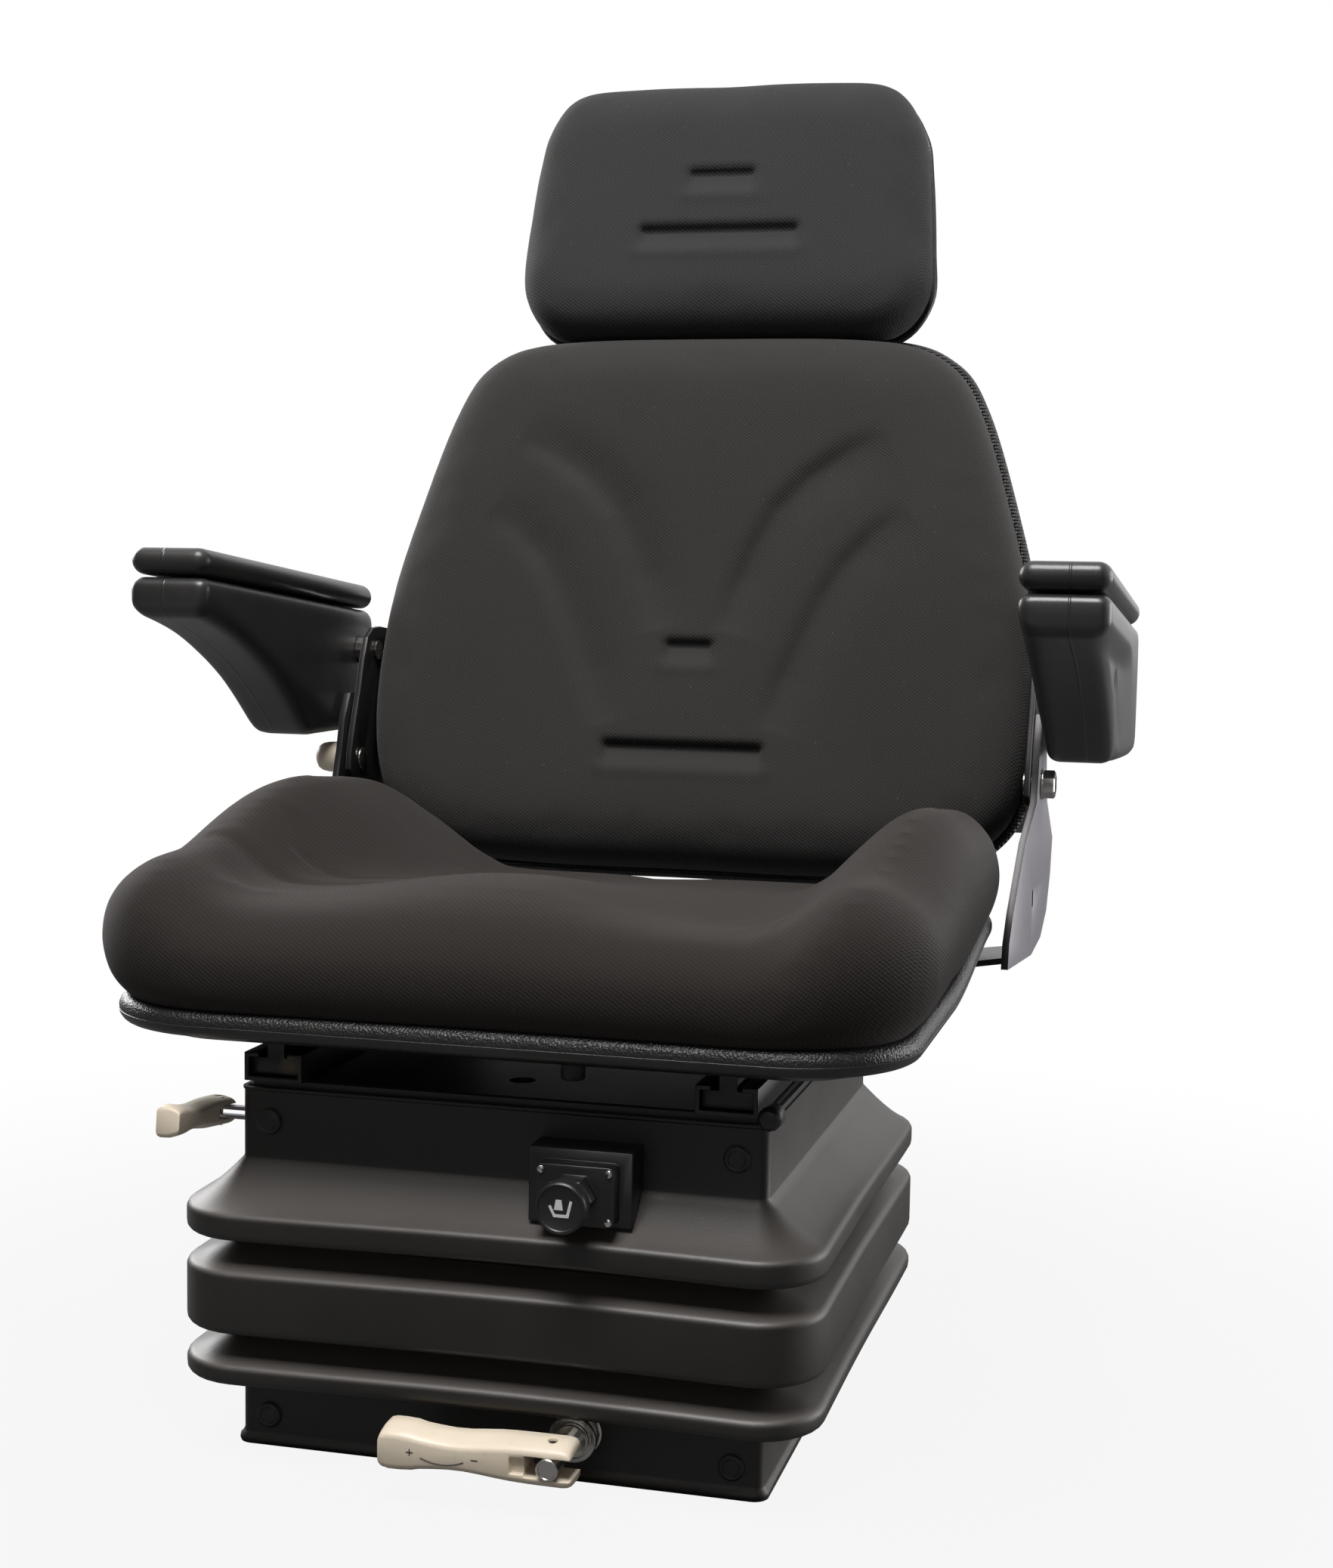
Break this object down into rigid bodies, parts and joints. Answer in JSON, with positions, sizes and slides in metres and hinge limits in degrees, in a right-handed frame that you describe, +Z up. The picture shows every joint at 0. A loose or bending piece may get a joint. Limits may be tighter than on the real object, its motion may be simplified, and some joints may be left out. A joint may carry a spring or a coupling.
{
  "type": "tractor suspension seat",
  "caption": "Black fabric tractor seat with headrest, folding armrests, reclining back and slide rails, on a scissor suspension inside a ribbed rubber gaiter with cream handles.",
  "frame": {"origin": "middle of the base pan's underside", "axes": "the seat faces -Y, +X is the viewer's right from the front, +Z up"},
  "size_m": [0.612, 0.614, 0.8443],
  "materials": {
    "pan_paint": "satin black paint",
    "bracket_steel": "light grey zinc-look paint",
    "bright_steel": "bright",
    "gaiter_rubber": "matt moulded",
    "black_plastic": "fine grain",
    "cream_plastic": "satin cream",
    "roller_nylon": "natural nylon",
    "seat_fabric": "dark woven upholstery",
    "pan_vinyl": "grained",
    "armrest_foam": "smooth integral-skin foam"
  },
  "bodies": {
    "base": {"base_pan": "pan_paint", "base_channel_left": "pan_paint", "base_channel_right": "pan_paint", "lower_pivot_shaft": "bright_steel", "spindle_bush": "black_plastic", "damper_tube": "pan_paint", "gaiter": "gaiter_rubber", "tension_spring_left": "bright_steel", "tension_spring_right": "bright_steel"},
    "upper_frame": {"top_pan": "pan_paint", "upper_channel_left": "pan_paint", "upper_channel_right": "pan_paint", "upper_pivot_shaft": "bright_steel", "damper_rod": "bright_steel", "control_box": "black_plastic", "lower_rail_left": "pan_paint", "lower_rail_right": "pan_paint"},
    "outer_arms": {"outer_arm_left": "pan_paint", "outer_arm_right": "pan_paint", "centre_pivot_left": "bright_steel", "centre_pivot_right": "bright_steel"},
    "inner_arms": {"inner_arm_left": "pan_paint", "inner_arm_right": "pan_paint"},
    "upper_axle_set": {"upper_axle": "bright_steel", "upper_roller_left": "roller_nylon", "upper_roller_right": "roller_nylon"},
    "lower_axle_set": {"lower_axle": "bright_steel", "lower_roller_left": "roller_nylon", "lower_roller_right": "roller_nylon"},
    "spindle_set": {"weight_spindle": "bright_steel", "weight_handle_pin": "bright_steel"},
    "weight_handle_set": {"weight_handle": "cream_plastic"},
    "traveller_set": {"spring_traveller": "pan_paint"},
    "yoke_set": {"spring_yoke": "pan_paint"},
    "knob_set": {"height_knob": "black_plastic"},
    "lever_set": {"lever_strap": "bracket_steel", "lever_pin": "bright_steel", "height_lever": "cream_plastic"},
    "seat_frame": {"seat_pan": "pan_vinyl", "seat_cushion": "seat_fabric", "upper_rail_left": "pan_paint", "upper_rail_right": "pan_paint", "side_bracket_left": "bracket_steel", "side_bracket_right": "bracket_steel"},
    "slide_lever_set": {"slide_lever": "pan_paint"},
    "backrest": {"back_shell": "black_plastic", "back_cushion": "seat_fabric", "back_crossbar": "bracket_steel", "back_plate_left": "bracket_steel", "back_plate_right": "bracket_steel", "pivot_bolt_left": "bright_steel", "pivot_bolt_right": "bright_steel", "arm_pin_left": "bright_steel", "arm_pin_right": "bright_steel"},
    "recline_knob_set": {"recline_knob": "cream_plastic"},
    "headrest": {"headrest_posts": "pan_paint", "headrest_cushion": "seat_fabric", "headrest_shell": "black_plastic"},
    "left_armrest": {"armrest_left": "armrest_foam"},
    "right_armrest": {"armrest_right": "armrest_foam"}
  },
  "joints": [
    {"name": "suspension_travel", "type": "slide", "parent": "base", "child": "upper_frame", "axis": [0, 0, 1], "range_m": [-0.08, 0], "stiffness_N_per_m": 6000, "springref_m": 0.1, "deforming": ["gaiter"]},
    {"name": "outer_arm_swing", "type": "hinge", "parent": "base", "child": "outer_arms", "pos_m": [0, 0.112, 0.045], "axis": [1, 0, 0], "range_deg": [0, 20.5]},
    {"name": "inner_arm_swing", "type": "hinge", "parent": "upper_frame", "child": "inner_arms", "pos_m": [0, 0.112, 0.1915], "axis": [1, 0, 0], "range_deg": [-20.5, 0]},
    {"name": "upper_axle_spin", "type": "hinge", "parent": "outer_arms", "child": "upper_axle_set", "pos_m": [0, -0.09058, 0.1915], "axis": [1, 0, 0], "continuous": true},
    {"name": "lower_axle_spin", "type": "hinge", "parent": "inner_arms", "child": "lower_axle_set", "pos_m": [0, -0.09058, 0.045], "axis": [1, 0, 0], "continuous": true},
    {"name": "weight_spindle_turn", "type": "hinge", "parent": "base", "child": "spindle_set", "pos_m": [0.048, 0, 0.028], "axis": [0, 1, 0], "range_deg": [-1800, 0]},
    {"name": "traveller_slide", "type": "slide", "parent": "base", "child": "traveller_set", "axis": [0, 1, 0], "range_m": [-0.015, 0]},
    {"name": "spring_stretch", "type": "slide", "parent": "base", "child": "yoke_set", "axis": [0, 1, 0], "range_m": [-0.03852, 0], "deforming": ["tension_spring_left", "tension_spring_right"]},
    {"name": "handle_fold", "type": "hinge", "parent": "spindle_set", "child": "weight_handle_set", "pos_m": [0.048, -0.195, 0.028], "axis": [0, 0, 1], "range_deg": [0, 90]},
    {"name": "height_knob_pull", "type": "slide", "parent": "upper_frame", "child": "knob_set", "axis": [0, 1, 0], "range_m": [-0.004, 0.003], "stiffness_N_per_m": 2000},
    {"name": "height_lever_tip", "type": "hinge", "parent": "upper_frame", "child": "lever_set", "pos_m": [-0.174, -0.126, 0.183], "axis": [1, 0, 0], "range_deg": [-20, 22]},
    {"name": "fore_aft_slide", "type": "slide", "parent": "upper_frame", "child": "seat_frame", "axis": [0, 1, 0], "range_m": [-0.09, 0.06]},
    {"name": "slide_lever_lift", "type": "hinge", "parent": "seat_frame", "child": "slide_lever_set", "pos_m": [0.154, 0.03, 0.2125], "axis": [1, 0, 0], "range_deg": [-3.5, 0], "stiffness_Nm_per_rad": 1.5},
    {"name": "recline", "type": "hinge", "parent": "seat_frame", "child": "backrest", "pos_m": [0, 0.245, 0.353], "axis": [-1, 0, 0], "range_deg": [-5, 15]},
    {"name": "recline_knob_turn", "type": "hinge", "parent": "seat_frame", "child": "recline_knob_set", "pos_m": [-0.2508, 0.245, 0.353], "axis": [1, 0, 0], "range_deg": [-90, 90]},
    {"name": "headrest_height", "type": "slide", "parent": "backrest", "child": "headrest", "axis": [0, 0.2096, 0.9778], "range_m": [0, 0.07]},
    {"name": "left_armrest_fold", "type": "hinge", "parent": "backrest", "child": "left_armrest", "pos_m": [-0.252, 0.27495, 0.42975], "axis": [-1, 0, 0], "range_deg": [0, 95]},
    {"name": "right_armrest_fold", "type": "hinge", "parent": "backrest", "child": "right_armrest", "pos_m": [0.252, 0.27495, 0.42975], "axis": [-1, 0, 0], "range_deg": [0, 95]}
  ],
  "couplings": [
    {"joint": "outer_arm_swing", "follows": "suspension_travel", "rad_per_m": -4.4609},
    {"joint": "inner_arm_swing", "follows": "suspension_travel", "rad_per_m": 4.4609},
    {"joint": "spring_stretch", "follows": "suspension_travel", "ratio": 0.4802},
    {"joint": "traveller_slide", "follows": "weight_spindle_turn", "m_per_rad": 0.0004775}
  ]
}
